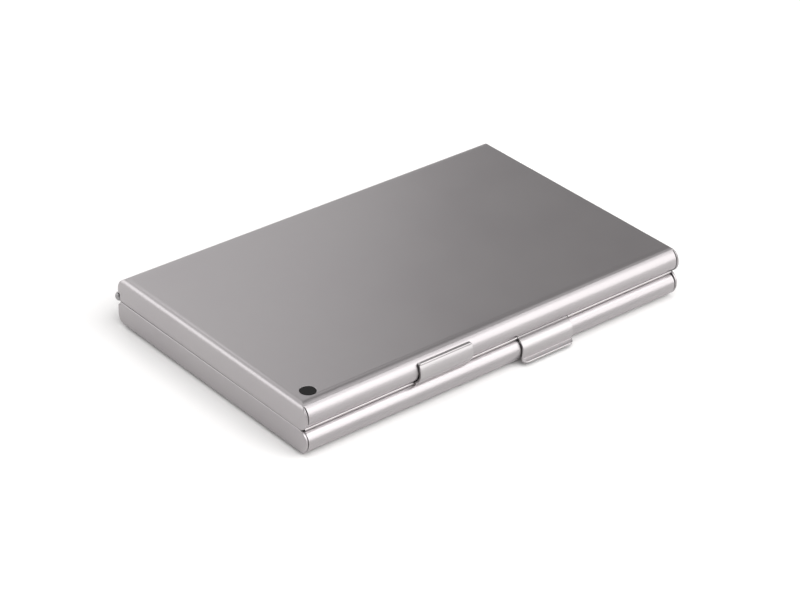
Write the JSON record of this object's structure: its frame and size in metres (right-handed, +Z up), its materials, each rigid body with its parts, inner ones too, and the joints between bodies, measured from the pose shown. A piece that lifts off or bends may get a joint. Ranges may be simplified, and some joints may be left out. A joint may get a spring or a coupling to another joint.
{
  "type": "business card case",
  "caption": "Flat two-sided metal card case: two shallow lids with rolled fronts, a divider between them, one rear barrel hinge and a sprung clasp for each lid.",
  "frame": {"origin": "centre of the case's box, on the flat outer face of the lower lid", "axes": "+X along the hinge, -Y towards the clasps, +Z up from the lower lid to the upper lid"},
  "size_m": [0.095, 0.0632, 0.0112],
  "materials": {
    "lid_metal": "fine satin, matt chrome look",
    "divider_metal": "satin",
    "hinge_metal": "satin",
    "pin_metal": "drawn wire, peened ends",
    "clasp_metal": "satin spring sheet",
    "enamel": "black enamel fill"
  },
  "bodies": {
    "lower_case": {"lower_lid": "lid_metal", "lower_hinge_leaf": "hinge_metal", "hinge_pin": "pin_metal"},
    "divider": {"divider_plate": "divider_metal"},
    "upper_case": {"upper_lid": "lid_metal", "upper_hinge_leaf": "hinge_metal", "corner_dot": "enamel"},
    "upper_clasp_tab": {"upper_clasp": "clasp_metal"},
    "lower_clasp_tab": {"lower_clasp": "clasp_metal"}
  },
  "joints": [
    {"name": "divider_hinge", "type": "hinge", "parent": "lower_case", "child": "divider", "pos_m": [0, 0.03067, 0.0056], "axis": [-1, 0, 0], "range_deg": [0, 100]},
    {"name": "upper_lid_hinge", "type": "hinge", "parent": "divider", "child": "upper_case", "pos_m": [0, 0.03067, 0.0056], "axis": [-1, 0, 0], "range_deg": [0, 100]},
    {"name": "upper_clasp_flex", "type": "hinge", "parent": "divider", "child": "upper_clasp_tab", "pos_m": [-0.0143, -0.0285, 0.0056], "axis": [1, 0, 0], "range_deg": [0, 8], "stiffness_Nm_per_rad": 0.1},
    {"name": "lower_clasp_flex", "type": "hinge", "parent": "divider", "child": "lower_clasp_tab", "pos_m": [0.0118, -0.0285, 0.0056], "axis": [-1, 0, 0], "range_deg": [0, 8], "stiffness_Nm_per_rad": 0.1}
  ]
}
